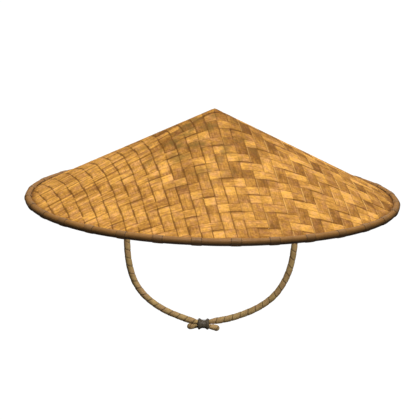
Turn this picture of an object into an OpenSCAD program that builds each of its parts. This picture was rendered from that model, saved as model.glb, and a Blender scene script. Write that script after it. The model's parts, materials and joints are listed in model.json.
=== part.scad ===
// Conical hat of plaited bamboo splits, with a ribbed frame, a headband and a chin cord.
// The hat stands level. The origin is the centre of the head opening, in the plane of
// the headband's lower edge. +Z is up, the front is -Y, and the chin cord's two pegs
// lie along X, at the sides of the head.

/* [Cone] */
// Outside diameter of the rim
rim_d = 430; // [420:2:440]
// Height of the cone's tip above the rim's centre plane
cone_h = 109; // [100:1:116]
// Thickness of the plaited outer sheet
weave_t = 1.0; // [0.8:0.1:1.2]
// Thickness of the plaited liner
liner_t = 0.8; // [0.6:0.1:1.0]

/* [Rim] */
// Radius of the round rim that the two hoops make together
rim_r = 4.4; // [4.2:0.1:5.2]
// Number of bindings round the rim
binding_count = 30; // [24:1:36]
// Width of one binding along the rim
binding_w = 12; // [8:1:14]
// Thickness of a binding
binding_t = 0.6; // [0.4:0.1:0.8]

/* [Frame] */
// Width of a radial rib
rib_w = 8; // [6:0.5:9]
// Thickness of a radial rib
rib_t = 2.5; // [2:0.1:3]
// Width of a frame hoop, measured across its radius
hoop_w = 5; // [4:0.5:5]
// Depth of a frame hoop
hoop_t = 3; // [2.5:0.1:3.2]

/* [Headband] */
// Inside radius of the headband
band_r = 89; // [88:0.5:89]
// Height of the headband
band_h = 46; // [44:1:47]
// Wall of the headband
band_t = 2; // [1.8:0.1:2]

/* [Chin cord] */
// Diameter of the cord
cord_d = 7.4; // [7:0.1:7.4]
// Radius of the peg that carries each end of the cord
peg_r = 3; // [2.6:0.1:3.2]
// Wall of the sliding wrap
slider_wall = 1.2; // [0.8:0.1:1.4]

/* [Hidden] */
$fn = 96;

// Cone. A layer of the hat is given by its depth below the outer face, square to it.
rim_z = 2;
rim_centre_r = rim_d / 2 - rim_r;
tip_z = rim_z + cone_h;
sheet_rise_at_rim = 1;
slope = (cone_h - sheet_rise_at_rim) / rim_centre_r;
cone_angle = atan(slope);
sheet_edge_r = rim_centre_r + rim_r / 2;
liner_top = weave_t;
liner_bottom = liner_top + liner_t;
rib_bottom = liner_bottom + rib_t;
hoop_bottom = rib_bottom + hoop_t;

// Rim
binding_angle = binding_w / rim_centre_r * 180 / PI;
binding_phase = -82.5;
cut_l = 30;

// Frame
rib_count = 8;
rib_in_r = 11;
rib_out_r = rim_centre_r - rim_r - 1;
brim_hoop_r = 150;
head_hoop_r = 93.5;
crown_hoop_r = 45;
hub_r = 16;
hub_h = 4;
lashing_w = 2;
lashing_t = 1;
lashing_x = 3.9;
lashing_y = 5;
lashing_slack = 0.3;
lashing_top = liner_bottom + 1.2;

// Headband
band_hoop_t = 1.2;
band_hoop_h = 5.8;
tie_w = 4;
tie_t = 1.2;
tie_room = 0.4;
tie_slack = 0.1;
band_out_r = band_r + band_t;
upper_hoop_z = band_h - band_hoop_h;

// Chin cord: the eyes turn on the pegs
cord_x = 97;
peg_z = 22;
peg_recess = 0.3;
peg_head_r = 5.5;
peg_head_t = 2.6;
running_gap = 0.08;
side_gap = 0.4;
eye_cord_r = 2.8;
eye_r = peg_r + running_gap + eye_cord_r;
seizing_r = 4.6;
seizing_z = [1, 13];
end_r = 3.6;
end_l = 7.3;

// Sliding wrap: the two cords turn half round each other inside it
slider_x = -7;
slider_z = -143;
neck_r = 2.8;
neck_reach = 15;
slider_gap = 0.4;
section_t = 0.02;
section_sides = 32;
cord_sides = 10;

// Route of each cord from its eye to its free end
left_route = [
    [-97, 0, 16], [-97, 0, 2], [-97, 0, -16], [-97, 0, -34], [-96.5, 0, -52],
    [-95, 0, -67], [-92, 0, -81], [-86.5, 0, -95.5], [-77, 0, -109], [-65, 0, -119.5],
    [-50, 0, -128.5], [-34, 0, -135], [-23, -0.8, -138.6], [-14, -1.9, -140.7],
    [-10.5, -2.7, -141.7], [-7, -3, -143], [-3.5, -2.7, -144.3], [0, -1.9, -145.3],
    [4.5, -1.6, -146.3]
];
right_route = [
    [97, 0, 16], [97, 0, 2], [96.8, 0, -16], [96.3, 0, -33], [95, 0, -50],
    [93, 0, -65], [89.5, 0, -79], [83.5, 0, -93], [74.5, 0, -106.5], [63, 0, -117],
    [50, 0, -125], [36, 0, -131.2], [22, 0.4, -136], [9, 1.2, -139], [0, 1.9, -140.7],
    [-3.5, 2.7, -141.7], [-7, 3, -143], [-10.5, 2.7, -144.3], [-14, 1.9, -145.3],
    [-18.5, 1.6, -146]
];
slider_stations = [[-14, 1.9, 2.3], [-10.5, 2.7, 1.3], [-7, 3, 0], [-3.5, 2.7, -1.3], [0, 1.9, -2.3]];

// Height of a point on the face that lies at this depth, at this radius
function face_z(depth, r) = tip_z - slope * r - depth / cos(cone_angle);

// The point square under the outer face at this radius, at this depth, as [radius, height]
function face_point(r, depth) =
    [r - depth * sin(cone_angle), face_z(0, r) - depth * cos(cone_angle)];

// A ring of the cone between two depths and two radii
module cone_ring(top, bottom, r_in, r_out)
    rotate_extrude()
        polygon([[r_in, face_z(top, r_in)], [r_in, face_z(bottom, r_in)],
                 [r_out, face_z(bottom, r_out)], [r_out, face_z(top, r_out)]]);

module outer_weave() {
    color("goldenrod") cone_ring(0, weave_t, 0, sheet_edge_r);
}

module inner_liner() {
    color("burlywood") cone_ring(liner_top, liner_bottom, 0, sheet_edge_r);
}

// Outline of the sheets' edge where the rim clamps it
module sheet_outline() {
    start_r = rim_centre_r - cut_l;
    polygon([[start_r, face_z(0, start_r)], [start_r, face_z(liner_bottom, start_r)],
             [sheet_edge_r, face_z(liner_bottom, sheet_edge_r)], [sheet_edge_r, face_z(0, sheet_edge_r)]]);
}

// Everything on one side of the line midway through the sheets: side is 1 above, -1 below
module rim_side(side) {
    mid = liner_bottom / 2;
    r1 = rim_centre_r - cut_l;
    r2 = rim_centre_r + cut_l;
    polygon([[r1, face_z(mid, r1)], [r2, face_z(mid, r2)],
             [r2, face_z(mid, r2) + side * 2 * cut_l], [r1, face_z(mid, r1) + side * 2 * cut_l]]);
}

module rim_hoop(side)
    rotate_extrude()
        difference() {
            intersection() {
                translate([rim_centre_r, rim_z]) circle(r = rim_r);
                rim_side(side);
            }
            sheet_outline();
        }

module rim_outer_hoop() {
    color("peru") rim_hoop(1);
}

module rim_inner_hoop() {
    color("saddlebrown") rim_hoop(-1);
}

// Each binding is wrapped round both hoops and passes through the sheets' edge
module rim_bindings() {
    color("sienna")
    for (i = [0 : binding_count - 1])
        rotate([0, 0, binding_phase + i * 360 / binding_count - binding_angle / 2])
            rotate_extrude(angle = binding_angle)
                difference() {
                    translate([rim_centre_r, rim_z]) circle(r = rim_r + binding_t);
                    translate([rim_centre_r, rim_z]) circle(r = rim_r);
                    sheet_outline();
                }
}

// A radial rib, shaped to the liner, at one of the eight places
module rib(place) {
    color("khaki")
    rotate([0, 0, place * 360 / rib_count])
        intersection() {
            cone_ring(liner_bottom, rib_bottom, rib_in_r, rib_out_r);
            translate([0, -rib_w / 2, 0]) cube([rim_d, rib_w, 2 * cone_h]);
        }
}

// A hoop lies square to the cone, under the ribs
module frame_hoop(r) {
    half_w = hoop_w / 2 * cos(cone_angle);
    rotate_extrude()
        polygon([face_point(r - half_w, rib_bottom), face_point(r - half_w, hoop_bottom),
                 face_point(r + half_w, hoop_bottom), face_point(r + half_w, rib_bottom)]);
}

module brim_hoop() {
    color("tan") frame_hoop(brim_hoop_r);
}

module head_hoop() {
    color("tan") frame_hoop(head_hoop_r);
}

module crown_hoop() {
    color("tan") frame_hoop(crown_hoop_r);
}

// One diagonal strap under a hoop, with a leg up on each side of the rib.
// It is drawn in the rib's own frame: X down the slope, Z out of the hat.
module lashing() {
    half_l = norm([lashing_x, lashing_y]);
    strap_z = -hoop_bottom - lashing_slack - lashing_t;
    rotate([0, 0, atan2(lashing_y, lashing_x)]) {
        translate([-half_l - lashing_t, -lashing_w / 2, strap_z])
            cube([2 * (half_l + lashing_t), lashing_w, lashing_t]);
        for (side = [0, 1])
            mirror([side, 0, 0])
                translate([half_l, -lashing_w / 2, strap_z])
                    cube([lashing_t, lashing_w, -lashing_top - strap_z]);
    }
}

module frame_lashings() {
    color("wheat")
    for (r = [brim_hoop_r, head_hoop_r, crown_hoop_r])
        for (i = [0 : rib_count - 1])
            rotate([0, 0, i * 360 / rib_count])
                translate([r, 0, face_z(0, r)])
                    rotate([0, cone_angle, 0])
                        lashing();
}

// The hub under the ribs' inner ends
module apex_hub() {
    hub_bottom = face_z(rib_bottom, hub_r) - hub_h;
    color("tan")
    rotate_extrude()
        polygon([[0, face_z(rib_bottom, 0)], [hub_r, face_z(rib_bottom, hub_r)],
                 [hub_r, hub_bottom], [0, hub_bottom]]);
}

module ring(r_in, wall, z, h)
    translate([0, 0, z])
        difference() {
            cylinder(r = r_in + wall, h = h);
            translate([0, 0, -1]) cylinder(r = r_in, h = h + 2);
        }

// Copies its children to the eight places midway between the ribs
module between_ribs()
    for (i = [0 : rib_count - 1])
        rotate([0, 0, (i + 0.5) * 360 / rib_count])
            children();

// A tie's clear inside, from under the band's upper hoop to over the frame's head hoop
function tie_inside(grow) = let (
    half_w = hoop_w / 2 * cos(cone_angle),
    r_in = face_point(head_hoop_r - half_w, hoop_bottom)[0] - tie_room - grow,
    r_out = face_point(head_hoop_r + half_w, rib_bottom)[0] + tie_room + grow,
    foot_in = band_out_r - grow,
    foot_out = band_out_r + band_hoop_t + tie_slack + grow,
    top = rib_bottom - tie_room - grow,
    knee_z = band_h + grow
) [
    [foot_in, upper_hoop_z - tie_slack - grow], [foot_out, upper_hoop_z - tie_slack - grow],
    [r_out, face_z(hoop_bottom, r_out)], [r_out, face_z(top, r_out)],
    [r_in, face_z(top, r_in)], [r_in, knee_z + hoop_w], [foot_in, knee_z]
];

// The headband has a shallow groove behind each tie, so that its inside stays round
module headband() {
    groove_z = upper_hoop_z - tie_slack - tie_t;
    color("goldenrod")
    difference() {
        ring(band_r, band_t, 0, band_h);
        between_ribs()
            translate([band_out_r - tie_t, -tie_w / 2, groove_z])
                cube([cut_l, tie_w, cut_l]);
        for (side = [0, 1])
            mirror([side, 0, 0])
                translate([band_r - band_t, 0, peg_z])
                    rotate([0, 90, 0]) cylinder(r = peg_r, h = 3 * band_t);
    }
}

module headband_lower_hoop() {
    color("peru") ring(band_out_r, band_hoop_t, 0, band_hoop_h);
}

module headband_upper_hoop() {
    color("peru") ring(band_out_r, band_hoop_t, upper_hoop_z, band_hoop_h);
}

module headband_ties() {
    color("wheat")
    between_ribs()
        translate([0, tie_w / 2, 0])
            rotate([90, 0, 0])
                linear_extrude(tie_w)
                    difference() {
                        polygon(tie_inside(tie_t));
                        polygon(tie_inside(0));
                    }
}

// A peg, driven through the band from outside, whose head keeps the cord's eye on
module cord_peg(side) {
    head_x = cord_x + eye_cord_r + side_gap;
    color("tan")
    mirror([side < 0 ? 1 : 0, 0, 0])
        translate([0, 0, peg_z])
            rotate([0, 90, 0]) {
                translate([0, 0, band_r + peg_recess])
                    cylinder(r = peg_r, h = head_x - band_r - peg_recess);
                translate([0, 0, head_x]) cylinder(r = peg_head_r, h = peg_head_t);
            }
}

module cord_eye(side) {
    color("darkkhaki")
    translate([side * cord_x, 0, peg_z])
        rotate([0, 90, 0])
            rotate_extrude()
                translate([eye_r, 0]) circle(r = eye_cord_r);
}

module cord_seizing(side) {
    color("sienna")
    translate([side * cord_x, 0, seizing_z[0]])
        difference() {
            cylinder(r = seizing_r, h = seizing_z[1] - seizing_z[0]);
            translate([0, 0, -1]) cylinder(r = cord_d / 2, h = seizing_z[1] - seizing_z[0] + 2);
        }
}

// The cord narrows where it passes through the sliding wrap
function cord_radius(p) = abs(p.x - slider_x) < neck_reach ? neck_r : cord_d / 2;

function unit(v) = v / norm(v);

function route_dir(route, i) =
    unit(route[min(i + 1, len(route) - 1)] - route[max(i - 1, 0)]);

// A ring of points square to the route. The routes stay near the XZ plane.
function route_ring(route, i) = let (
    dir = route_dir(route, i),
    side = unit(cross([0, 1, 0], dir)),
    front = cross(dir, side),
    r = cord_radius(route[i])
) [
    for (k = [0 : cord_sides - 1])
        route[i] + r * (cos(k * 360 / cord_sides) * side + sin(k * 360 / cord_sides) * front)
];

// A cord swept along its route, as one closed tube
module cord_tube(route) {
    last = len(route) - 1;
    points = [for (i = [0 : last]) each route_ring(route, i)];
    walls = [
        for (i = [0 : last - 1])
            for (k = [0 : cord_sides - 1])
                let (a = i * cord_sides + k, b = i * cord_sides + (k + 1) % cord_sides)
                    [a, a + cord_sides, b + cord_sides, b]
    ];
    first_cap = [for (k = [0 : cord_sides - 1]) k];
    last_cap = [for (k = [cord_sides - 1 : -1 : 0]) last * cord_sides + k];
    polyhedron(points = points, faces = concat(walls, [first_cap, last_cap]), convexity = 4);
}

module chin_cord_left() {
    color("darkkhaki") cord_tube(left_route);
}

module chin_cord_right() {
    color("darkkhaki") cord_tube(right_route);
}

// The stopper on a cord's free end, in line with the route's last stretch
module cord_end(route) {
    tip = route[len(route) - 1];
    dir = route_dir(route, len(route) - 1);
    color("sienna")
    translate(tip)
        rotate([0, acos(dir.z), atan2(dir.y, dir.x)]) {
            cylinder(r = end_r, h = end_l - end_r);
            translate([0, 0, end_l - end_r]) sphere(r = end_r);
        }
}

// The round outlines of both cords at one place along the sliding wrap
module slider_section(station, r)
    for (side = [-1, 1])
        translate([station.x, side * station.y, slider_z - side * station.z])
            rotate([0, 90, 0]) cylinder(r = r, h = section_t, center = true, $fn = section_sides);

module slider_shape(picks, r, stretch)
    for (i = [0 : len(picks) - 2])
        hull() {
            for (j = [i, i + 1])
                translate([(j == 0 ? -1 : j == len(picks) - 1 ? 1 : 0) * stretch, 0, 0])
                    slider_section(slider_stations[picks[j]], r);
        }

module chin_slider() {
    inner_r = neck_r + slider_gap;
    color("dimgray")
    difference() {
        slider_shape([0, 2, 4], inner_r + slider_wall, 0);
        slider_shape([0, 1, 2, 3, 4], inner_r, slider_wall);
    }
}

outer_weave();
inner_liner();
rim_outer_hoop();
rim_inner_hoop();
rim_bindings();
rib(0);  // rib_right
rib(1);  // rib_back_right
rib(2);  // rib_back
rib(3);  // rib_back_left
rib(4);  // rib_left
rib(5);  // rib_front_left
rib(6);  // rib_front
rib(7);  // rib_front_right
brim_hoop();
head_hoop();
crown_hoop();
frame_lashings();
apex_hub();
headband();
headband_lower_hoop();
headband_upper_hoop();
headband_ties();
cord_peg(-1);  // cord_peg_left
cord_peg(1);  // cord_peg_right
cord_eye(-1);  // cord_eye_left
cord_eye(1);  // cord_eye_right
cord_seizing(-1);  // cord_seizing_left
cord_seizing(1);  // cord_seizing_right
chin_cord_left();
chin_cord_right();
cord_end(left_route);  // cord_end_left
cord_end(right_route);  // cord_end_right
chin_slider();
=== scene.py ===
import json
import math

import bpy
import numpy as np
from mathutils import Matrix, Vector

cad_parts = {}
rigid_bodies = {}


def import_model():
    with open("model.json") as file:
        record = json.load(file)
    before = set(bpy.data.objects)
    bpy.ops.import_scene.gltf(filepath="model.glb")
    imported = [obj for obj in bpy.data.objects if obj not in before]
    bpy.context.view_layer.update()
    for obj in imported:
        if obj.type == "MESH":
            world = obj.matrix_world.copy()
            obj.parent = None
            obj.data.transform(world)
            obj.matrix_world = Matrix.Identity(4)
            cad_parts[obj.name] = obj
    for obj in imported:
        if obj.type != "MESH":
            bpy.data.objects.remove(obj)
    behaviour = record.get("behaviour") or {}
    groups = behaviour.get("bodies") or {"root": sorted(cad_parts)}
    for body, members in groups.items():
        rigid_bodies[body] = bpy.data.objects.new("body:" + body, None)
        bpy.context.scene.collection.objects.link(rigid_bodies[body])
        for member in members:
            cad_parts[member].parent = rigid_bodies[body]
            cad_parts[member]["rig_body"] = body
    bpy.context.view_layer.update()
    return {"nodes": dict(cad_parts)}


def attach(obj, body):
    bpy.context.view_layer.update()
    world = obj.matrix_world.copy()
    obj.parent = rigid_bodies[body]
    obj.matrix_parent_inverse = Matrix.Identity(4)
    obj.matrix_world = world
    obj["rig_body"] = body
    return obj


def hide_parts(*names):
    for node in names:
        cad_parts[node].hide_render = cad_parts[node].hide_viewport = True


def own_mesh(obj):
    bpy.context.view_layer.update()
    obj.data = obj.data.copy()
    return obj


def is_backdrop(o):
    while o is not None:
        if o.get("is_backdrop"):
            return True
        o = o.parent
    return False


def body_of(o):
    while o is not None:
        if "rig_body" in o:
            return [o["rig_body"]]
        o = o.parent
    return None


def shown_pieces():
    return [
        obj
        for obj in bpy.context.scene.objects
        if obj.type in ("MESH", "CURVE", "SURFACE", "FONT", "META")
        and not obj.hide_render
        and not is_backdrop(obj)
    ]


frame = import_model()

MM = 0.001
rng = np.random.default_rng(41)

# The hat's main measures, as in the CAD source
RIM_R = 210.6
RIM_Z = 2.0
RIM_TUBE = 4.4
TIP_Z = 111.0
SLOPE = 108.0 / 210.6
CONE_ANGLE = math.atan(SLOPE)
TIP_ROUND = 0.6
SHEET_EDGE_R = 212.0
WEAVE_TURN = math.radians(12.25)
BAND_R = 89.0
BAND_H = 46.0
CORD_D = 7.4
EYE_R = 5.88
EYE_CORD_R = 2.8
PEG_Z = 22.0
CORD_X = 97.0
SLIDER = (-7.0, 0.0, -143.0)

# ---------------------------------------------------------------- camera


def make_camera():
    elevation, roll, distance = math.radians(12.69), math.radians(1.362), 8.67
    back = Vector((0, -math.cos(elevation), math.sin(elevation)))
    across, over = Vector((1, 0, 0)), Vector((0, math.sin(elevation), math.cos(elevation)))
    right = across * math.cos(roll) + over * math.sin(roll)
    up = over * math.cos(roll) - across * math.sin(roll)
    aim = Vector((0, 0, 0.003)) - right * 0.00277 - up * 0.01131
    data = bpy.data.cameras.new("camera")
    data.lens, data.sensor_width = 648.9, 36
    data.clip_start, data.clip_end = 0.1, 60
    camera = bpy.data.objects.new("camera", data)
    bpy.context.scene.collection.objects.link(camera)
    place = aim + back * distance
    camera.matrix_world = Matrix(
        [[right[i], up[i], back[i], place[i]] for i in range(3)] + [[0, 0, 0, 1]]
    )
    bpy.context.scene.camera = camera


# ---------------------------------------------------------------- meshes


class Pile:
    """Gathers swept tubes into one mesh, with named numbers at each vertex."""

    def __init__(self, *names):
        self.points, self.loops, self.sizes, self.count = [], [], [], 0
        self.values = {name: [] for name in names}

    def tube(self, rings, closed=False, **values):
        """Adds rings of points, an array of (rings, points round, 3), as one closed solid."""
        n, m = rings.shape[:2]
        index = np.arange(n * m).reshape(n, m)
        here = index if closed else index[:-1]
        there = np.roll(index, -1, 0) if closed else index[1:]
        quads = np.stack([here, np.roll(here, -1, 1), np.roll(there, -1, 1), there], -1)
        quads = quads.reshape(-1, 4)
        caps = [] if closed else [index[0][::-1], index[-1]]
        points = rings.reshape(-1, 3)
        a, b, c, d = (points[quads[:, i]] - points.mean(0) for i in range(4))
        if (a * np.cross(b, c)).sum() + (a * np.cross(c, d)).sum() < 0:
            quads, caps = quads[:, ::-1], [cap[::-1] for cap in caps]
        self.loops += [quads.ravel() + self.count] + [cap + self.count for cap in caps]
        self.sizes += [np.full(len(quads), 4)] + [np.array([m]) for _ in caps]
        self.points.append(points)
        self.count += n * m
        for name, kept in self.values.items():
            kept.append(np.broadcast_to(values[name], (n, m)).ravel())

    def build(self, name, material, sharp=35):
        points = np.concatenate(self.points) * MM
        loops, sizes = np.concatenate(self.loops), np.concatenate(self.sizes)
        mesh = bpy.data.meshes.new(name)
        mesh.vertices.add(len(points))
        mesh.vertices.foreach_set("co", points.astype(np.float32).ravel())
        mesh.loops.add(len(loops))
        mesh.loops.foreach_set("vertex_index", loops.astype(np.int32))
        mesh.polygons.add(len(sizes))
        starts = np.concatenate([[0], np.cumsum(sizes)[:-1]])
        mesh.polygons.foreach_set("loop_start", starts.astype(np.int32))
        mesh.update(calc_edges=True)
        for key, kept in self.values.items():
            attribute = mesh.attributes.new(key, "FLOAT", "POINT")
            attribute.data.foreach_set("value", np.concatenate(kept).astype(np.float32))
        mesh.shade_smooth()
        mesh.set_sharp_from_angle(angle=math.radians(sharp))
        mesh.materials.append(material)
        piece = bpy.data.objects.new(name, mesh)
        bpy.context.scene.collection.objects.link(piece)
        return piece


def smooth(t):
    t = np.clip(t, 0, 1)
    return t * t * (3 - 2 * t)


def wander(t, period, size, seed):
    """A slow wobble of about that period and size."""
    phases = np.random.default_rng(seed).random(3) * 2 * math.pi
    waves = [np.sin(2 * math.pi * t * k / period + p) / k for k, p in zip((1, 1.7, 2.9), phases)]
    return size * sum(waves) / 1.6


def unit(v):
    return v / np.linalg.norm(v, axis=-1, keepdims=True)


# ---------------------------------------------------------------- materials


class Nodes:
    """Short calls that add nodes to a material and link them."""

    def __init__(self, name):
        self.material = bpy.data.materials.new(name)
        self.material.use_nodes = True
        self.tree = self.material.node_tree
        self.tree.nodes.clear()
        self.shader = self.add("ShaderNodeBsdfPrincipled")
        out = self.add("ShaderNodeOutputMaterial")
        self.tree.links.new(self.shader.outputs[0], out.inputs[0])

    def add(self, kind, **settings):
        node = self.tree.nodes.new(kind)
        for key, value in settings.items():
            setattr(node, key, value)
        return node

    def plug(self, socket, value):
        if isinstance(value, bpy.types.NodeSocket):
            self.tree.links.new(value, socket)
        elif value is not None:
            socket.default_value = value

    def attribute(self, name):
        return self.add("ShaderNodeAttribute", attribute_name=name).outputs["Fac"]

    def math(self, kind, a, b=None, c=None, clamp=False):
        node = self.add("ShaderNodeMath", operation=kind, use_clamp=clamp)
        for socket, value in zip(node.inputs, (a, b, c)):
            self.plug(socket, value)
        return node.outputs[0]

    def place(self):
        """Object coordinates in millimetres, as x, y and z."""
        split = self.add("ShaderNodeSeparateXYZ")
        where = self.add("ShaderNodeTexCoord").outputs["Object"]
        self.plug(split.inputs[0], where)
        return [self.math("MULTIPLY", split.outputs[i], 1 / MM) for i in range(3)]

    def vector(self, x, y, z):
        node = self.add("ShaderNodeCombineXYZ")
        for socket, value in zip(node.inputs, (x, y, z)):
            self.plug(socket, value)
        return node.outputs[0]

    def noise(self, vector, scale=1.0, detail=3.0, rough=0.55):
        node = self.add("ShaderNodeTexNoise")
        self.plug(node.inputs["Vector"], vector)
        for key, value in (("Scale", scale), ("Detail", detail), ("Roughness", rough)):
            node.inputs[key].default_value = value
        return node.outputs["Fac"]

    def range(self, value, low, high, to_low=0.0, to_high=1.0):
        node = self.add("ShaderNodeMapRange", clamp=True)
        self.plug(node.inputs["Value"], value)
        for key, number in zip(("From Min", "From Max", "To Min", "To Max"),
                               (low, high, to_low, to_high)):
            node.inputs[key].default_value = number
        return node.outputs[0]

    def ramp(self, factor, *stops):
        node = self.add("ShaderNodeValToRGB")
        self.plug(node.inputs[0], factor)
        parts = node.color_ramp.elements
        while len(parts) < len(stops):
            parts.new(0.5)
        for part, (at, colour) in zip(parts, stops):
            part.position, part.color = at, (*colour, 1)
        return node.outputs[0]

    def mix(self, factor, a, b, kind="MIX"):
        node = self.add("ShaderNodeMix", data_type="RGBA", blend_type=kind)
        self.plug(node.inputs[0], factor)
        for socket, value in ((node.inputs[6], a), (node.inputs[7], b)):
            self.plug(socket, (*value, 1) if isinstance(value, tuple) else value)
        return node.outputs[2]

    def finish(self, colour, rough, height, depth_mm, specular=0.4, **sockets):
        self.plug(self.shader.inputs["Base Color"], colour)
        self.plug(self.shader.inputs["Roughness"], rough)
        self.shader.inputs["Specular IOR Level"].default_value = specular
        for key, value in sockets.items():
            self.shader.inputs[key.replace("_", " ")].default_value = value
        bump = self.add("ShaderNodeBump")
        bump.inputs["Strength"].default_value = 1.0
        bump.inputs["Distance"].default_value = depth_mm * MM
        self.plug(bump.inputs["Height"], height)
        self.plug(self.shader.inputs["Normal"], bump.outputs[0])
        return self.material


def split_material(name, stops, gap, bright, stains=0.0, rough=(0.55, 0.78)):
    """A flat bamboo split: fibres along it, mottles, patches, painted shade at its edges and in its gaps, and a
    painted highlight on lit edges.
    """
    n = Nodes(name)
    along, across, tone, shade, worn = (
        n.attribute(a) for a in ("along", "across", "tone", "shade", "worn"))
    x, y, z = n.place()
    here = n.vector(x, y, z)
    fibre = n.noise(n.vector(n.math("MULTIPLY", along, 0.10), n.math("MULTIPLY", across, 1.3), 0.0),
                    detail=3, rough=0.5)
    streak = n.noise(n.vector(n.math("MULTIPLY", along, 0.035), n.math("MULTIPLY", across, 0.55), 7.0),
                     detail=3)
    mottle = n.noise(here, scale=0.36, detail=2, rough=0.45)
    patch = n.noise(here, scale=0.075, detail=4, rough=0.6)
    broad = n.noise(here, scale=0.020, detail=2)
    level = n.math("ADD", tone, n.range(fibre, 0.3, 0.7, -0.11, 0.11))
    level = n.math("ADD", level, n.range(streak, 0.3, 0.7, -0.15, 0.15))
    level = n.math("ADD", level, n.range(mottle, 0.34, 0.66, -0.13, 0.13))
    level = n.math("ADD", level, n.range(patch, 0.34, 0.66, -0.16, 0.16))
    level = n.math("ADD", level, n.range(broad, 0.3, 0.7, -0.10, 0.10))
    if stains:
        # weathering has left long streaks along u over both families, on the left
        run = n.math("MULTIPLY_ADD", x, math.cos(WEAVE_TURN), n.math("MULTIPLY", y, math.sin(WEAVE_TURN)))
        side = n.math("MULTIPLY_ADD", y, math.cos(WEAVE_TURN), n.math("MULTIPLY", x, -math.sin(WEAVE_TURN)))
        long_streak = n.noise(n.vector(n.math("MULTIPLY", run, 0.022), n.math("MULTIPLY", side, 0.20), 11.0),
                              detail=3)
        strength = n.range(run, -30.0, -110.0, 0.0, 1.0)
        level = n.math("MULTIPLY_ADD", n.range(long_streak, 0.35, 0.65, -0.22, 0.22), strength, level)
    colour = n.ramp(level, *stops)
    drift = n.noise(n.vector(n.math("ADD", x, 300.0), y, z), scale=0.13, detail=2, rough=0.5)
    colour = n.mix(n.range(drift, 0.46, 0.64, 0.0, 0.8), colour, (0.98, 0.97, 1.75), kind="MULTIPLY")
    if stains:
        away = n.math("SQRT", n.math("ADD", n.math("POWER", n.math("ADD", x, 22.0), 2.0),
                                     n.math("POWER", n.math("ADD", y, 46.0), 2.0)))
        near = n.range(away, 25.0, 85.0, 1.0, 0.12)
        spots = n.noise(here, scale=0.062, detail=3)
        stain = n.math("MULTIPLY", n.range(spots, 0.48, 0.64), near)
        colour = n.mix(n.math("MULTIPLY", stain, stains), colour, (0.20, 0.112, 0.022))
    # painted highlight towards the bright colour on lit edges, then painted shade towards the gap colour
    colour = n.mix(worn, colour, bright)
    colour = n.mix(shade, colour, gap)
    relief = n.math("MULTIPLY_ADD", mottle, 0.6, fibre)
    return n.finish(colour, n.range(mottle, 0.3, 0.7, *rough), relief, 0.16, specular=0.10)


def cane_material(name, dark, middle, light, edge, rough=(0.42, 0.66), specular=0.45, depth=0.15,
                  coat=0.0):
    """Round or flat cane with its grain along it, lighter and darker in patches, and darkened by its shade attribute:
    painted shade in grooves, creases and underneath, and dark seams.
    """
    n = Nodes(name)
    along, across, shade = (n.attribute(a) for a in ("along", "across", "shade"))
    fibre = n.noise(n.vector(n.math("MULTIPLY", along, 0.07),
                             n.math("MULTIPLY", across, 1.6), 3.0), detail=4)
    x, y, z = n.place()
    patch = n.noise(n.vector(x, y, z), scale=0.06, detail=4, rough=0.6)
    wear = n.noise(n.vector(x, y, z), scale=0.45, detail=3)
    level = n.math("MULTIPLY_ADD", fibre, 0.5, -0.12)
    level = n.math("MULTIPLY_ADD", patch, 0.5, level)
    level = n.math("MULTIPLY_ADD", wear, 0.2, level)
    colour = n.ramp(level, (0.15, dark), (0.5, middle), (0.9, light))
    # painted shade: towards the edge colour where the shade attribute is high
    colour = n.mix(n.math("MULTIPLY", shade, 1.0, clamp=True), colour, edge)
    return n.finish(colour, n.range(wear, 0.3, 0.7, *rough), fibre, depth, specular=specular,
                    Coat_Weight=coat)


def frame_material(name, radial, dark, middle, light):
    """Split bamboo of the hidden frame. The grain runs outward, or round the hat."""
    n = Nodes(name)
    x, y, z = n.place()
    radius = n.math("SQRT", n.math("ADD", n.math("POWER", x, 2.0), n.math("POWER", y, 2.0)))
    angle = n.math("ARCTAN2", y, x)
    round_mm = n.math("MULTIPLY", angle, radius)
    along, across = (radius, round_mm) if radial else (n.math("MULTIPLY", angle, 120.0), radius)
    fibre = n.noise(n.vector(n.math("MULTIPLY", along, 0.08),
                             n.math("MULTIPLY", across, 2.2), n.math("MULTIPLY", z, 0.9)), detail=4)
    patch = n.noise(n.vector(x, y, z), scale=0.05, detail=4, rough=0.6)
    level = n.math("MULTIPLY_ADD", fibre, 0.6, n.math("MULTIPLY_ADD", patch, 0.55, -0.1))
    colour = n.ramp(level, (0.15, dark), (0.5, middle), (0.9, light))
    # a node of the bamboo every 90 mm shows as a darker ring
    ring = n.math("ABSOLUTE", n.math("SUBTRACT", n.math("FRACT", n.math("DIVIDE", along, 90.0)), 0.5))
    colour = n.mix(n.range(ring, 0.0, 0.012, 0.65, 0.0), colour, dark)
    return n.finish(colour, n.range(fibre, 0.3, 0.7, 0.45, 0.7), fibre, 0.2)


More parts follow.
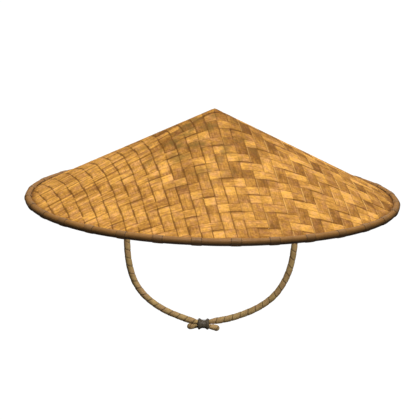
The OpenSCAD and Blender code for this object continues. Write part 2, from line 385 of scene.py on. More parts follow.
def cord_material():
    """Cord wrapped in a fibre strip: fine thread across the wrap, and painted shade in its one groove."""
    n = Nodes("cord_wrap")
    along, turn, groove = (n.attribute(a) for a in ("along", "across", "shade"))
    thread = n.noise(n.vector(n.math("MULTIPLY", along, 1.1), n.math("MULTIPLY", turn, 0.30), 1.0),
                     detail=3, rough=0.5)
    x, y, z = n.place()
    patch = n.noise(n.vector(x, y, z), scale=0.11, detail=4, rough=0.6)
    fine = n.noise(n.vector(x, y, z), scale=1.3, detail=3)
    level = n.math("MULTIPLY_ADD", thread, 0.10, n.math("MULTIPLY_ADD", patch, 0.7, 0.04))
    level = n.math("MULTIPLY_ADD", fine, 0.05, level)
    colour = n.ramp(level, (0.25, (0.22, 0.140, 0.052)), (0.55, (0.38, 0.255, 0.102)),
                    (0.9, (0.53, 0.372, 0.160)))
    ruddy = n.noise(n.vector(x, n.math("ADD", y, 90.0), z), scale=0.09, detail=3)
    colour = n.mix(n.range(ruddy, 0.46, 0.66, 0.0, 0.55), colour, (0.36, 0.205, 0.105))
    # painted shade in the groove
    colour = n.mix(groove, colour, (0.034, 0.018, 0.008))
    relief = n.math("MULTIPLY_ADD", fine, 0.4, thread)
    return n.finish(colour, n.range(thread, 0.3, 0.7, 0.62, 0.85), relief, 0.05, specular=0.15)


def slider_material():
    """Stiff dark bark wrap, darker on its lips, with painted shade on its underside and inside."""
    n = Nodes("slider_bark")
    along, across, shade = (n.attribute(a) for a in ("along", "across", "shade"))
    fibre = n.noise(n.vector(n.math("MULTIPLY", along, 0.45), n.math("MULTIPLY", across, 0.16), 5.0),
                    detail=3, rough=0.5)
    x, y, z = n.place()
    patch = n.noise(n.vector(x, y, z), scale=0.28, detail=3, rough=0.5)
    level = n.math("MULTIPLY_ADD", fibre, 0.22, n.math("MULTIPLY_ADD", patch, 0.40, 0.19))
    colour = n.ramp(level, (0.2, (0.040, 0.031, 0.020)), (0.5, (0.078, 0.062, 0.040)),
                    (0.85, (0.120, 0.098, 0.066)))
    colour = n.mix(n.math("MULTIPLY", shade, 0.7, clamp=True), colour, (0.02, 0.014, 0.009))
    return n.finish(colour, n.range(patch, 0.3, 0.7, 0.45, 0.65), fibre, 0.05, specular=0.2)


# ---------------------------------------------------------------- cords

LEFT_ROUTE = [
    (-97, 0, 16), (-97, 0, 2), (-97, 0, -16), (-97, 0, -34), (-96.5, 0, -52),
    (-95, 0, -67), (-92, 0, -81), (-86.5, 0, -95.5), (-77, 0, -109), (-65, 0, -119.5),
    (-50, 0, -128.5), (-34, 0, -135), (-23, -0.8, -138.6), (-14, -1.9, -140.7),
    (-10.5, -2.7, -141.7), (-7, -3, -143), (-3.5, -2.7, -144.3), (0, -1.9, -145.3),
    (4.5, -1.6, -146.3),
]
RIGHT_ROUTE = [
    (97, 0, 16), (97, 0, 2), (96.8, 0, -16), (96.3, 0, -33), (95, 0, -50),
    (93, 0, -65), (89.5, 0, -79), (83.5, 0, -93), (74.5, 0, -106.5), (63, 0, -117),
    (50, 0, -125), (36, 0, -131.2), (22, 0.4, -136), (9, 1.2, -139), (0, 1.9, -140.7),
    (-3.5, 2.7, -141.7), (-7, 3, -143), (-10.5, 2.7, -144.3), (-14, 1.9, -145.3),
    (-18.5, 1.6, -146),
]
WRAP_PITCH = 9.5
CORD_RING_MM = 0.42
CORD_SIDES = 40
NECK_R = 2.8
NECK_FROM = 6.0
NECK_FADE = 9.0


def smooth_route(route, step):
    """Even points along one smooth curve through the route."""
    p = np.array(route, float)
    p = np.vstack([2 * p[0] - p[1], p, 2 * p[-1] - p[-2]])
    knots = np.concatenate([[0], np.cumsum(np.sqrt(np.linalg.norm(np.diff(p, axis=0), axis=1)))])
    line = []
    for i in range(1, len(p) - 2):
        t0, t1, t2, t3 = knots[i - 1:i + 3]
        t = np.linspace(t1, t2, 40, endpoint=False)[:, None]
        a1 = (t1 - t) / (t1 - t0) * p[i - 1] + (t - t0) / (t1 - t0) * p[i]
        a2 = (t2 - t) / (t2 - t1) * p[i] + (t - t1) / (t2 - t1) * p[i + 1]
        a3 = (t3 - t) / (t3 - t2) * p[i + 1] + (t - t2) / (t3 - t2) * p[i + 2]
        b1 = (t2 - t) / (t2 - t0) * a1 + (t - t0) / (t2 - t0) * a2
        b2 = (t3 - t) / (t3 - t1) * a2 + (t - t1) / (t3 - t1) * a3
        line.append((t2 - t) / (t2 - t1) * b1 + (t - t1) / (t2 - t1) * b2)
    line = np.vstack(line + [p[-2:-1]])
    run = np.concatenate([[0], np.cumsum(np.linalg.norm(np.diff(line, axis=0), axis=1))])
    even = np.linspace(0, run[-1], max(2, round(run[-1] / step) + 1))
    return np.stack([np.interp(even, run, line[:, k]) for k in range(3)], 1), even


def across_frames(line, facing=(0, -1, 0)):
    """At each point: the direction to the viewer's side and to the walker's left."""
    ahead = unit(np.gradient(line, axis=0))
    facing = np.broadcast_to(np.array(facing, float), line.shape)
    up = unit(facing - (facing * ahead).sum(1, keepdims=True) * ahead)
    return ahead, up, np.cross(up, ahead)


def wrap_profile(phase):
    """How far the wrap stands below its edge, and how much painted shade lies in its groove, by its phase 0 to 1."""
    near = np.minimum(phase, 1 - phase)
    groove = np.exp(-(near / 0.062) ** 2)
    shingle = 0.16 * phase
    return 0.36 * groove + shingle, np.clip(groove * 0.85, 0, 1)


def wrapped_tube(pile, line, run, radius, start=0.0, sides=CORD_SIDES, ends=0.0):
    """A cord with one helical groove that leans forward on the walker's left."""
    ahead, up, left = across_frames(line)
    angle = np.arange(sides) / sides * 2 * math.pi
    phase = ((run[:, None] + start) / WRAP_PITCH - angle[None, :] / (2 * math.pi)) % 1.0
    sink, dark = wrap_profile(phase)
    r = radius[:, None] - sink
    cos, sin = np.cos(angle)[None, :, None], np.sin(angle)[None, :, None]
    rings = line[:, None] + r[..., None] * (cos * up[:, None] + sin * left[:, None])
    pile.tube(rings, along=run[:, None] + start, across=angle[None, :] * CORD_D / 2, shade=dark * (1 - ends))


def make_cords(material):
    pieces = {}
    for side, route, start in (("left", LEFT_ROUTE, 3.0), ("right", RIGHT_ROUTE, 6.0)):
        line, run = smooth_route(route, CORD_RING_MM)
        near = 1 - smooth((np.abs(line[:, 0] - SLIDER[0]) - NECK_FROM) / NECK_FADE)
        radius = (CORD_D / 2 + 0.10) * (1 - near) + NECK_R * near
        radius = radius + wander(run, 31, 0.07, 3)
        pile = Pile("along", "across", "shade")
        wrapped_tube(pile, line, run, radius, start)
        cord = pile.build("cord_" + side, material, sharp=60)
        pieces[side] = (cord, line, run)
    return pieces


def make_cord_end(side, route, material):
    """The bound, rounded free end of a cord."""
    line, _ = smooth_route(route, CORD_RING_MM)
    tip, ahead = line[-1], unit(line[-1] - line[-8])
    length, fat = 7.3, 3.6
    t = np.concatenate([np.linspace(0, 0.66, 26), 0.66 + 0.34 * np.sin(np.linspace(0.06, 1, 16) * math.pi / 2)])
    s = t * length
    swell = 3.4 + (fat - 3.4) * smooth(s / 2.0)
    dome = np.sqrt(np.clip(1 - ((s - length + fat) / fat).clip(0) ** 2, 0, 1))
    radius = np.maximum(swell * dome, 0.05)
    centre = tip + s[:, None] * ahead
    pile = Pile("along", "across", "shade")
    ahead_all = np.broadcast_to(ahead, centre.shape)
    facing = np.broadcast_to(np.array((0, -1.0, 0)), centre.shape)
    up = unit(facing - (facing * ahead_all).sum(1, keepdims=True) * ahead_all)
    left = np.cross(up, ahead_all)
    angle = np.arange(32) / 32 * 2 * math.pi
    phase = ((s[:, None] + 5.5) / WRAP_PITCH - angle[None, :] / (2 * math.pi)) % 1.0
    sink, dark = wrap_profile(phase)
    r = radius[:, None] - sink * (radius[:, None] / fat)
    ring = centre[:, None] + r[..., None] * (
        np.cos(angle)[None, :, None] * up[:, None] + np.sin(angle)[None, :, None] * left[:, None])
    pile.tube(ring, along=s[:, None], across=angle[None, :] * fat, shade=dark * 0.9)
    return pile.build("cord_tip_" + side, material, sharp=60)


def make_eye(side, sign, material):
    """The loop of cord that turns on its peg."""
    turn = np.arange(150) / 150 * 2 * math.pi
    centre = np.stack([np.full(150, sign * CORD_X), EYE_R * np.sin(turn), PEG_Z + EYE_R * np.cos(turn)], 1)
    out = np.stack([np.zeros(150), np.sin(turn), np.cos(turn)], 1)
    angle = np.arange(28) / 28 * 2 * math.pi
    phase = (4 * turn[:, None] / (2 * math.pi) - angle[None, :] / (2 * math.pi)) % 1.0
    sink, dark = wrap_profile(phase)
    r = EYE_CORD_R - sink * 0.8
    x_way = np.array((1.0, 0, 0))
    rings = centre[:, None] + r[..., None] * (
        np.cos(angle)[None, :, None] * out[:, None] + np.sin(angle)[None, :, None] * x_way)
    pile = Pile("along", "across", "shade")
    pile.tube(rings, closed=True, along=turn[:, None] * EYE_R, across=angle[None, :] * EYE_CORD_R, shade=dark)
    return pile.build("cord_loop_" + side, material, sharp=60)


def make_whipping(side, sign, material):
    """Turns of thread that close the eye on the cord."""
    rows, sides, turns, low, high = 150, 32, 11, 1.0, 13.0
    z = np.linspace(low, high, rows)
    angle = np.arange(sides) / sides * 2 * math.pi
    phase = (z[:, None] - low) / (high - low) * turns - angle[None, :] / (2 * math.pi)
    bump = np.abs(np.sin(phase * math.pi))
    end = np.minimum((z - low) / 0.8, (high - z) / 0.8).clip(0, 1)[:, None]
    r = 3.7 + (0.42 + 0.48 * bump) * np.sqrt(end.clip(0.02))
    rings = np.stack([sign * CORD_X + r * np.cos(angle), r * np.sin(angle), np.broadcast_to(z[:, None], r.shape)], -1)
    pile = Pile("along", "across", "shade")
    # painted shade in the grooves between the turns of thread
    pile.tube(rings, along=angle[None, :] * 4.2, across=phase * 1.1, shade=(1 - bump) ** 2)
    return pile.build("whipping_" + side, material, sharp=60)


def make_slider(material):
    """A stiff sleeve round both cords, narrow at its middle, with rolled lips at its ends."""
    rows, sides, half = 72, 56, 6.65
    s = np.linspace(-half, half, rows)
    share = np.abs(s) / half
    # a round lip 1.9 mm high near each end, and the last 1.2 mm rounded off
    end = ((np.abs(s) - half + 1.2) / 1.2).clip(0)
    lip = np.exp(-((np.abs(s) - 4.8) / 1.85) ** 2)
    rounding = 1.2 * (1 - np.sqrt(np.clip(1 - end ** 2, 0, 1)))
    tall = 4.6 + 0.35 * share + 1.55 * lip - rounding
    wide = 7.3 - 0.9 * share + 0.7 * lip - rounding
    angle = np.arange(sides) / sides * 2 * math.pi
    power = 2.35
    c, q = np.cos(angle), np.sin(angle)
    shape_y = np.sign(c) * np.abs(c) ** (2 / power)
    shape_z = np.sign(q) * np.abs(q) ** (2 / power)
    ripple = 0.03 * np.sin(angle * 9 + 1.0)[None, :] + wander(s, 7.0, 0.04, 9)[:, None]

    def wall(y_size, z_size, uneven):
        y = (y_size[:, None] + uneven) * shape_y
        z = (z_size[:, None] + uneven) * shape_z
        x = np.broadcast_to(s[:, None], y.shape)
        return np.stack([SLIDER[0] + x, SLIDER[1] + y, SLIDER[2] + z], -1)

    outer, inner = wall(wide, tall, ripple), wall(6.3 - 1.0 * share, 3.4 + 0.95 * share ** 2, 0)
    rings = np.concatenate([outer, inner[::-1]])
    # painted shade: darker on the underside and inside the sleeve; the lips are darker too
    under = 0.55 * smooth(-q * 1.2)[None, :]
    outside = np.maximum(0.35 * lip[:, None], under)
    pile = Pile("along", "across", "shade")
    pile.tube(rings, closed=True, along=np.concatenate([s, s[::-1]])[:, None], across=angle[None, :] * 6,
              shade=np.concatenate([outside, np.full((rows, sides), 0.9)]))
    return pile.build("cord_slider", material, sharp=50)


# ---------------------------------------------------------------- plaited cone


def on_cone(x, y, depth):
    """A point square under the cone's outer face, at that depth."""
    r = np.sqrt(x * x + y * y + TIP_ROUND ** 2)
    lean = math.cos(CONE_ANGLE)
    nx, ny = SLOPE * x / r * lean, SLOPE * y / r * lean
    return np.stack([x - depth * nx, y - depth * ny, TIP_Z - SLOPE * r - depth * lean], -1)


def warp_on_top(ku, kv):
    return (ku + kv + 2) % 4 < 2


def float_height(cells, state, blend):
    """1 where a split lies over, -1 where it lies under, smooth in between."""
    k = np.floor(cells).astype(int)
    f = cells - k
    here, before, after = state(k), state(k - 1), state(k + 1)
    rise = before + (here - before) * smooth((f + blend) / (2 * blend))
    fall = here + (after - here) * smooth((f - 1 + blend) / (2 * blend))
    return np.where(f < blend, rise, np.where(f > 1 - blend, fall, here))


SPLIT_ACROSS = np.array([-1, -0.93, -0.84, -0.4, 0, 0.4, 0.84, 0.93, 1, 0.88, 0, -0.88])
SPLIT_RISE = np.array([-0.30, 0.02, 0.15, 0.21, 0.22, 0.21, 0.15, 0.02, -0.30, -0.26, -0.26, -0.26])
# SPLIT_EDGE: how much painted shade each point across a split takes, most at its edges
SPLIT_EDGE = np.array([1, 0.55, 0.10, 0, 0, 0, 0.10, 0.55, 1, 1, 1, 1.0])
ROWS_IN_CELL = (0, 0.045, 0.10, 0.18, 0.5, 0.82, 0.90, 0.955)
BLEND = 0.18


class Sheet:
    """What differs between the outer weave and the liner."""

    def __init__(self, turn, pitch, start, middle, thick, lift, fine):
        self.turn, self.pitch, self.start = turn, pitch, start
        self.middle, self.thick, self.lift, self.fine = middle, thick, lift, fine


def leftness(u):
    return smooth((70 - u) / 130)


def slit(at, line):
    """How open the slit between two splits along u is. It opens where both lie on top."""
    if line % 2 == 0:
        return 0 * at
    away = np.abs((at - (1 - line) % 4 - 0.5 + 2) % 4 - 2)
    return smooth((1.1 - away) / 0.5)


def plait(name, material, running, sheet, edge_r=SHEET_EDGE_R):
    """One family of splits, those running along u or along v, plaited two over, two under."""
    along_u = running == "u"
    run_axis, side_axis = (0, 1) if along_u else (1, 0)
    pitch, start = sheet.pitch, sheet.start
    cos, sin = math.cos(sheet.turn), math.sin(sheet.turn)
    table = np.random.default_rng(5 if along_u else 6).random((140, 140))
    pile = Pile("along", "across", "tone", "shade", "worn")
    count = int(edge_r / pitch[side_axis]) + 2
    for k in range(-count, count):
        low = start[side_axis] + k * pitch[side_axis]
        high = low + pitch[side_axis]
        if min(abs(low), abs(high)) > edge_r - 3:
            continue
        w = (low + high) / 2 + SPLIT_ACROSS * (high - low) / 2
        w = np.clip(w, 1 - edge_r, edge_r - 1)
        reach = np.sqrt(edge_r ** 2 - w ** 2)
        first = start[run_axis]
        cells = np.arange(-count - 2, count + 2)[:, None] + np.array(ROWS_IN_CELL)[None, :]
        s = (first + cells * pitch[run_axis]).ravel()
        if low < 8 and high > -8:
            s = np.union1d(s, np.arange(-12, 12.1, 1.2))
        # past the shorter edge's end the rows slant, so that the strip ends along the round rim
        near, far = reach.min() - 1, reach.max()
        s = s[np.abs(s) < far - 0.6][:, None]
        past = np.maximum(np.abs(s) - near, 0) / (far - near)
        s = np.sign(s) * (np.minimum(np.abs(s), near) + past * (reach - near))
        s = np.vstack([-reach, s, reach])
        at = (s - first) / pitch[run_axis]
        cell = np.floor(at + 1e-6).astype(int)
        if along_u:
            state = lambda kk: np.where(warp_on_top(kk, k), -1.0, 1.0)
            which, column = (cell + k + 1) // 4, cell
        else:
            state = lambda kk: np.where(warp_on_top(k, kk), 1.0, -1.0)
            which, column = (cell + k - 1) // 4, k + 0 * cell
        height = float_height(at, state, BLEND)
        over = smooth((height - 0.2) / 0.6)
        below = SPLIT_ACROSS[None, :] < 0
        near_line = np.clip(1 - np.abs(at - np.round(at)) * pitch[run_axis] / 0.9, 0, 1)
        # edge_shade: painted shadow at the splits' edges and in the slits between them; on the outer weave heavier on
        # the left, where the key light grazes the cone. crease: painted shade along the fold where a split passes
        # over the edge below
        if along_u and sheet.fine:
            left = leftness(s)
            opened = np.where(below, slit(at, k), slit(at, k + 1))
            inset = 0.10 + 0.50 * opened
            edge_shade = 0.16 + 0.80 * opened
            part = 1.0 if k % 2 == 0 else smooth((0.45 - SPLIT_ACROSS) / 0.6)[None, :]
            crease = near_line * over * part * left
        else:
            left = leftness(w[None, :] + 0 * s)
            inset = (0.34 + 0.14 * left) if sheet.fine else 0.3 + 0 * left
            edge_shade = (0.28 + 0.58 * left) if sheet.fine else 0.7
            crease = 0 * s
        side_way = w[None, :] - np.sign(SPLIT_ACROSS) * inset
        side_way = side_way + wander(s, 90, 0.16, 100 + k) + wander(s, 23, 0.06, 300 + k)
        u, v = (s, side_way) if along_u else (side_way, s)
        x, y = cos * u - sin * v, sin * u + cos * v
        r = np.sqrt(x * x + y * y)
        calm = 1 - 0.5 * smooth((r - 198) / 8)
        rise = SPLIT_RISE[None, :] * sheet.thick / 0.45 - 0.10 * crease
        depth = sheet.middle - sheet.lift * height * calm - rise
        own, each, single = table[k + 70, 0], table[k + 70, which % 60 + 70], table[k + 70, cell % 60 + 5]
        # painted shade where a split dives under the other, heavier on the left, and along the creases
        ends = (0.52 + 0.26 * left) if along_u else (0.56 + 0.02 * left)
        shade = np.maximum(SPLIT_EDGE[None, :] * edge_shade, smooth((0.38 - height) / 0.45) * ends)
        shade = np.maximum(shade, crease * 0.75)
        worn = 0 * s
        if sheet.fine:
            # painted shadow of the rim on the sheet next to it, stronger towards the back
            behind = 0.3 + 0.7 * smooth((y + 120) / 120)
            shade = np.maximum(shade, 0.9 * smooth((r - 203.0) / 3.5) * behind)
            # painted highlight on the left edges of the splits down, on the right side where the key light catches
            # them
            if not along_u:
                left_edge = np.array([0.7, 0.9, 0.1] + [0] * 9)[None, :]
                worn = left_edge * over * (1 - left) * (0.75 if k % 2 else 0.4)
            tone = weave_tone(along_u, u, r, own, each, single, column % 2)
        else:
            tone = 0.5 + 0.3 * (own - 0.5) + 0.3 * (each - 0.5)
        pile.tube(on_cone(x, y, depth), along=s + 40.0 * k, across=side_way,
                  tone=tone, shade=shade * (1 - worn), worn=worn)
    return pile.build(name, material, sharp=60)


def weave_tone(along_u, u, r, own, each, single, odd):
    """Lightness of a split by place: even on the left; on the right a chequer of light and brown that is a painted
    sheen, the splits across lit and the splits down shaded; lighter at the left end, darker towards the apex.
    """
    right = 1 - leftness(u)
    end = smooth((-60 - u) / 70)
    odd = 2 * odd - 1
    # painted sheen: on the right the splits across get painted light, the splits down painted shade
    if along_u:
        tone = 0.60 + 0.08 * end + right * (0.12 + 0.08 * odd)
    else:
        tone = 0.54 + 0.12 * end - right * (0.17 + 0.08 * odd)
    calm = 1 - 0.65 * end
    tone = tone + calm * (0.14 * (own - 0.5) + 0.12 * (each - 0.5))
    tone = tone + calm * (0.44 - 0.08 * right) * (single - 0.5)
    return tone - 0.035 * smooth((u - 60) / 80) - 0.22 * smooth((105 - r) / 85) - 0.02 * smooth((r - 120) / 60)


# ---------------------------------------------------------------- rim


def rim_point(angle, r, z):
    """Points at an angle round the hat, at a radius and a height."""
    return np.stack(np.broadcast_arrays(r * np.cos(angle), r * np.sin(angle), z), -1)


def make_rim_hoop(name, side, material):
    """Half of the round rim. Its flat side lies on the sheets' edge."""
    rows = 540
    low, high = (math.radians(-26), math.radians(140)) if side > 0 else (math.radians(-30), math.radians(-194))
    arc = np.linspace(low, high, 26)
    lean = -CONE_ANGLE
    out_way, up_way = np.array((math.cos(lean), math.sin(lean))), np.array((-math.sin(lean), math.cos(lean)))
    flat = [(-4.1, 0.95), (1.9, 0.95), (2.2, 0.2)]
    flat = np.array([out_way * a + up_way * b * side for a, b in flat])
    profile = np.vstack([np.stack([np.cos(arc), np.sin(arc)], 1) * RIM_TUBE, flat])
    is_arc = np.concatenate([np.ones(len(arc)), np.zeros(len(flat))])
    angle = np.arange(rows) / rows * 2 * math.pi
    turns = 2 * math.pi
    uneven = 1 + 0.018 * np.sin(angle * 7 + side) + 0.012 * np.sin(angle * 17 + 2) + 0.01 * np.sin(angle * 31)
    scale = 1 + (uneven[:, None] - 1 - 0.02) * is_arc[None, :]
    r = RIM_R + profile[None, :, 0] * scale
    z = RIM_Z + profile[None, :, 1] * scale
    # Dark at both ends of the arc: the seam between the hoops, and painted shade in the crease against the sheets. On
    # the upper hoop, painted shade also darkens it towards its outer underside.
    seam_and_shade = 1 - smooth(np.minimum(np.arange(26), np.arange(26)[::-1]) / 2.2)
    if side > 0:
        seam_and_shade = np.maximum(seam_and_shade, 0.62 * smooth((math.radians(62) - arc) / math.radians(75)))
    seam_and_shade = np.concatenate([seam_and_shade, np.ones(3)])
    pile = Pile("along", "across", "shade")
    around = np.arange(len(profile)) * 0.6
    pile.tube(rim_point(angle[:, None], r, z), closed=True, along=angle[:, None] * RIM_R * (1 + 0 * turns),
              across=around[None, :] + 50 * (side > 0), shade=seam_and_shade[None, :] * 0.9)
    return pile.build(name, material, sharp=40)


def make_bindings(material):
    """Thirty flat wraps over both hoops and through the edge of the sheets."""
    pile = Pile("along", "across", "shade")
    arc = np.radians(np.linspace(150, -202, 56))
    across = np.array([-1, -0.94, -0.8, -0.35, 0.35, 0.8, 0.94, 1, 0.9, 0, -0.9])
    lift = np.array([0.0, 0.20, 0.30, 0.36, 0.36, 0.30, 0.20, 0.0, -0.15, -0.15, -0.15])
    edge = np.array([1, 0.8, 0.0, 0, 0, 0.0, 0.8, 1, 1, 1, 1.0])
    for i in range(30):
        centre = math.radians(-82.5 + 12 * i)
        width = 6.0 * (1 + 0.05 * (rng.random() - 0.5))
        skew = 0.5 * (rng.random() - 0.5)
        start, stop = rng.random(2) * 3
        bend = np.concatenate([arc])
        mm = across[None, :] * width + skew * np.sin(bend)[:, None] + 0.12 * np.sin(bend * 9 + i)[:, None]
        thin = 1 - 0.5 * smooth((np.abs(np.degrees(bend) + 21) - 166 + start) / 12)
        radius = RIM_TUBE + 0.02 + lift[None, :] * thin[:, None]
        angle = centre + mm / RIM_R
        r = RIM_R + radius * np.cos(bend)[:, None]
        z = RIM_Z + radius * np.sin(bend)[:, None]
        # painted shade: at the wraps' edges, and towards the rim's outer underside as on the upper hoop
        underside_shade = 0.62 * smooth((math.radians(62) - bend) / math.radians(75))[:, None]
        pile.tube(rim_point(angle, r, z), along=bend[:, None] * RIM_TUBE + 40.0 * i, across=mm,
                  shade=np.maximum(edge[None, :] * 0.9, underside_shade))
    return pile.build("rim_wraps", material, sharp=50)


# ---------------------------------------------------------------- headband


def make_headband(material):
    """A plaited band: upright stakes, and level splits that go over and under them."""
    stakes, levels = 56, 6
    across = np.array([-1, -0.85, 0, 0.85, 1, 0.85, -0.85])
    top = np.array([0.0, 0.34, 0.42, 0.34, 0.0, -0.34, -0.34])
    # edge: painted shade at the edges of each split
    edge = np.array([1, 0.25, 0, 0.25, 1, 1, 1.0])
    mid_r = BAND_R + 1.0
    row_h = BAND_H / levels
    pile = Pile("along", "across", "tone", "shade", "worn")
    for i in range(stakes):
        centre = (i + 0.5) * 2 * math.pi / stakes
        z = np.linspace(0.3, BAND_H - 0.3, levels * 8)
        wave = np.cos(z / row_h * math.pi - math.pi / 2) * (1 if i % 2 else -1)
        angle = centre + (across[None, :] * 4.0 + 0 * z[:, None]) / mid_r
        r = mid_r + 0.42 * wave[:, None] + top[None, :]
        tone = 0.45 + 0.5 * (rng.random() - 0.5)
        pile.tube(rim_point(angle, r, z[:, None]), along=z[:, None] + 60.0 * i, across=across[None, :] * 4 + i,
                  tone=tone, shade=edge[None, :] * 0.7, worn=0.0)
    rows = stakes * 8
    around = np.arange(rows) / rows * 2 * math.pi
    for j in range(levels):
        wave = -np.cos((around * stakes / (2 * math.pi) - 0.5) * math.pi) * (1 if j % 2 else -1)
        z = (j + 0.5) * row_h + across[None, :] * (row_h / 2 - 0.25)
        r = mid_r + 0.42 * wave[:, None] + top[None, :]
        tone = 0.5 + 0.5 * (rng.random() - 0.5)
        pile.tube(rim_point(around[:, None], r, z + 0 * r), closed=True, along=around[:, None] * mid_r + 31.0 * j,
                  across=z, tone=tone, shade=edge[None, :] * 0.7, worn=0.0)
    return pile.build("headband_plait", material, sharp=50)


# ---------------------------------------------------------------- stage and light


def studio():
    white = bpy.data.materials.new("studio_white")
    white.use_nodes = True
    tree = white.node_tree
    tree.nodes.clear()
    glow = tree.nodes.new("ShaderNodeEmission")
    glow.inputs["Color"].default_value = (1, 1, 1, 1)
    glow.inputs["Strength"].default_value = 1.05
    out = tree.nodes.new("ShaderNodeOutputMaterial")
    tree.links.new(glow.outputs[0], out.inputs[0])

    def ring_mesh(name, rings):
        n, m = rings.shape[:2]
        index = np.arange(n * m).reshape(n, m)
        quads = np.stack([index[:-1], np.roll(index, -1, 1)[:-1], np.roll(index, -1, 1)[1:], index[1:]], -1)
        mesh = bpy.data.meshes.new(name)
        mesh.from_pydata(rings.reshape(-1, 3).tolist(), [], quads.reshape(-1, 4).tolist())
        mesh.materials.append(white)
        thing = bpy.data.objects.new(name, mesh)
        bpy.context.scene.collection.objects.link(thing)
        for ray in ("visible_diffuse", "visible_glossy", "visible_transmission", "visible_shadow"):
            setattr(thing, ray, False)
        thing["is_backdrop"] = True

    around = np.arange(64) / 64 * 2 * math.pi
    radius = 16.0
    floor = np.array([0.01, 5.0, 12.0, radius])[:, None]
    ring_mesh("floor", np.stack([floor * np.cos(around), floor * np.sin(around), -0.6 + 0 * floor * around], -1))
    up = np.radians(np.linspace(0, 89.5, 24))[:, None]
    ring_mesh("backdrop", np.stack([radius * np.cos(up) * np.cos(around), radius * np.cos(up) * np.sin(around),
                                    -0.6 + radius * np.sin(up) + 0 * around], -1))

    scene = bpy.context.scene
    scene.view_settings.view_transform = "Standard"
    world = bpy.data.worlds.new("studio")
    scene.world = world
    world.use_nodes = True
    tree = world.node_tree
    tree.nodes.clear()
    where = tree.nodes.new("ShaderNodeTexCoord")
    split = tree.nodes.new("ShaderNodeSeparateXYZ")
    tree.links.new(where.outputs["Generated"], split.inputs[0])
    ramp = tree.nodes.new("ShaderNodeValToRGB")
    half = tree.nodes.new("ShaderNodeMath")
    half.operation = "MULTIPLY_ADD"
    half.inputs[1].default_value = half.inputs[2].default_value = 0.5
    tree.links.new(split.outputs[2], half.inputs[0])
    tree.links.new(half.outputs[0], ramp.inputs[0])
    stops = ((0.0, 0.12), (0.45, 0.10), (0.70, 0.16), (1.0, 0.45))
    parts = ramp.color_ramp.elements
    while len(parts) < len(stops):
        parts.new(0.5)
    for part, (at, grey) in zip(parts, stops):
        part.position, part.color = at, (grey, grey, grey * 0.98, 1)
    sky = tree.nodes.new("ShaderNodeBackground")
    sky.inputs["Strength"].default_value = 0.75
    tree.links.new(ramp.outputs[0], sky.inputs["Color"])
    out = tree.nodes.new("ShaderNodeOutputWorld")
    tree.links.new(sky.outputs[0], out.inputs[0])

    on_hat, on_rim, on_cord, inside, wrap_only = (
        bpy.data.collections.new(name) for name in ("on_hat", "on_rim", "on_cord", "inside", "wrap_only"))
    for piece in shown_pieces():
        if body_of(piece) != ["hat"]:
            on_cord.objects.link(piece)
            if body_of(piece) == ["slider"]:
                wrap_only.objects.link(piece)
            continue
        on_hat.objects.link(piece)
        if piece.name.startswith("rim_"):
            on_rim.objects.link(piece)
        elif not piece.name.startswith("weave_"):
            inside.objects.link(piece)
    for name, azimuth, elevation, strength, soft, lit in (
        ("key", 14, 72, 3.3, 9, on_hat), ("back", 170, 45, 0.5, 40, on_hat),
        ("cord_key", 20, 66, 3.1, 12, on_cord), ("cord_side", 40, 8, 1.3, 20, on_cord),
        ("cord_back", 195, 10, 1.5, 40, on_cord), ("rim_glow", 20, -62, 0.45, 50, on_rim),
        ("floor_glow", 20, -62, 2.2, 50, inside),
    ):
        light = bpy.data.lights.new(name, "SUN")
        light.energy, light.angle = strength, math.radians(soft)
        lamp = bpy.data.objects.new(name, light)
        scene.collection.objects.link(lamp)
        a, e = math.radians(azimuth), math.radians(elevation)
        toward = Vector((math.sin(a) * math.cos(e), -math.cos(a) * math.cos(e), math.sin(e)))
        lamp.rotation_mode = "QUATERNION"
        lamp.rotation_quaternion = toward.to_track_quat("Z", "Y")
        lamp.location = toward * 3
        # the brim doesn't shade the cord, nor one strand the other: each has a light of its own
        lamp.light_linking.receiver_collection = lit
        lamp.light_linking.blocker_collection = wrap_only if lit is on_cord else lit


# ---------------------------------------------------------------- put it together

make_camera()

cord_look = cord_material()
whip_look = cane_material("whipping_thread", (0.10, 0.052, 0.02), (0.20, 0.11, 0.045), (0.33, 0.20, 0.09),
                          (0.03, 0.016, 0.008), rough=(0.6, 0.8), specular=0.25)
bark = slider_material()
slider = make_slider(bark)
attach(slider, "slider")
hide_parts("chin_slider")

# each cord gets its bound end, its loop and its whipping, all on the chin cord's body in place of the CAD's nodes
for side, (cord, line, run) in make_cords(cord_look).items():
    sign = -1 if side == "left" else 1
    route = LEFT_ROUTE if side == "left" else RIGHT_ROUTE
    tip = make_cord_end(side, route, cord_look)
    loop = make_eye(side, sign, cord_look)
    whipping = make_whipping(side, sign, whip_look)
    for piece, node, slot in (
        (cord, "chin_cord_", "cord"), (tip, "cord_end_", "cord"),
        (loop, "cord_eye_", "cord"), (whipping, "cord_seizing_", "whipping"),
    ):
        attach(piece, "chin_cord")
        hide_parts(node + side)
    for piece in (cord, tip):
        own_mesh(piece)

BAMBOO_STOPS = ((0.0, (0.21, 0.082, 0.011)), (0.32, (0.375, 0.163, 0.026)),
                (0.62, (0.56, 0.262, 0.045)), (1.0, (0.86, 0.435, 0.080)))
# GAP: colour of the painted shade in gaps, at edges and in creases; BRIGHT: colour of the painted highlight on lit
# edges
GAP = (0.112, 0.037, 0.0030)
BRIGHT = (0.88, 0.50, 0.15)
split_u = split_material("bamboo_split_u", BAMBOO_STOPS, GAP, BRIGHT, stains=0.80)
split_v = split_material("bamboo_split_v", BAMBOO_STOPS, GAP, BRIGHT, stains=0.85)
WEAVE = Sheet(WEAVE_TURN, (13.05, 13.126), (11.75, 6.56), 0.46, 0.33, 0.18, fine=True)
for name, look, running in (("weave_splits_across", split_u, "u"), ("weave_splits_down", split_v, "v")):
    piece = plait(name, look, running, WEAVE)
    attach(piece, "hat")
    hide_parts("outer_weave")

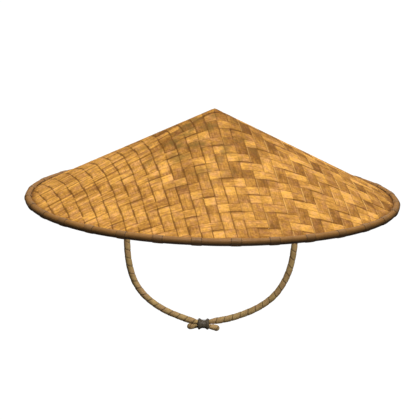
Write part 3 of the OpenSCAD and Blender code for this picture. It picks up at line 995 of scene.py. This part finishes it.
LINER_STOPS = ((0.0, (0.13, 0.058, 0.014)), (0.35, (0.29, 0.145, 0.036)),
               (0.65, (0.48, 0.265, 0.078)), (1.0, (0.70, 0.420, 0.140)))
liner_look = split_material("liner_split", LINER_STOPS, (0.04, 0.018, 0.006), BRIGHT)
LINER = Sheet(math.radians(57.25), (20.0, 20.0), (4.0, 9.0), 1.42, 0.36, 0.18, fine=False)
for name, running in (("liner_splits_across", "u"), ("liner_splits_down", "v")):
    piece = plait(name, liner_look, running, LINER)
    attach(piece, "hat")
    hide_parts("inner_liner")

rim_top_look = cane_material("rim_cane_upper", (0.155, 0.068, 0.016), (0.30, 0.139, 0.033), (0.42, 0.212, 0.053),
                             (0.035, 0.020, 0.012), specular=0.22)
# the lower hoop's cane is darker and greyer than the upper's: partly its own colour, partly painted shade of the
# rim's underside
rim_low_look = cane_material("rim_cane_lower", (0.066, 0.040, 0.026), (0.142, 0.086, 0.056), (0.23, 0.142, 0.090),
                             (0.026, 0.016, 0.011), specular=0.2)
for name, side, look, node in (("rim_hoop_upper", 1, rim_top_look, "rim_outer_hoop"),
                               ("rim_hoop_lower", -1, rim_low_look, "rim_inner_hoop")):
    hoop = make_rim_hoop(name, side, look)
    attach(hoop, "hat")
    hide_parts(node)

bind_look = cane_material("binding_cane", (0.15, 0.069, 0.021), (0.275, 0.138, 0.044), (0.39, 0.205, 0.068),
                          (0.036, 0.018, 0.008), rough=(0.40, 0.58), specular=0.2)
wraps = make_bindings(bind_look)
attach(wraps, "hat")
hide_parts("rim_bindings")

BAND_STOPS = ((0.0, (0.18, 0.090, 0.026)), (0.35, (0.36, 0.195, 0.062)),
              (0.65, (0.54, 0.320, 0.110)), (1.0, (0.78, 0.520, 0.220)))
band_look = split_material("band_split", BAND_STOPS, (0.08, 0.04, 0.014), BRIGHT)
band = make_headband(band_look)
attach(band, "hat")
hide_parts("headband")

BAMBOO = ((0.24, 0.135, 0.045), (0.48, 0.300, 0.115), (0.68, 0.48, 0.22))
rib_look = frame_material("bamboo_rib", True, *BAMBOO)
hoop_look = frame_material("bamboo_hoop", False, *BAMBOO)
tie_look = frame_material("cane_tie", True, (0.20, 0.110, 0.040), (0.42, 0.260, 0.105), (0.62, 0.43, 0.20))
edge_look = frame_material("band_edge_cane", False, (0.14, 0.075, 0.030), (0.29, 0.170, 0.070), (0.44, 0.28, 0.13))
LOOKS = {
    "bamboo": (rib_look, ["rib_right", "rib_back_right", "rib_back", "rib_back_left", "rib_left",
                          "rib_front_left", "rib_front", "rib_front_right", "cord_peg_left", "cord_peg_right"]),
    "bamboo_hoops": (hoop_look, ["brim_hoop", "head_hoop", "crown_hoop", "apex_hub"]),
    "ties": (tie_look, ["frame_lashings", "headband_ties"]),
    "band_edges": (edge_look, ["headband_lower_hoop", "headband_upper_hoop"]),
}
for look, names in LOOKS.values():
    for name in names:
        node = frame["nodes"][name]
        for slot in node.material_slots:
            slot.material = look
        if not node.material_slots:
            node.data.materials.append(look)

studio()
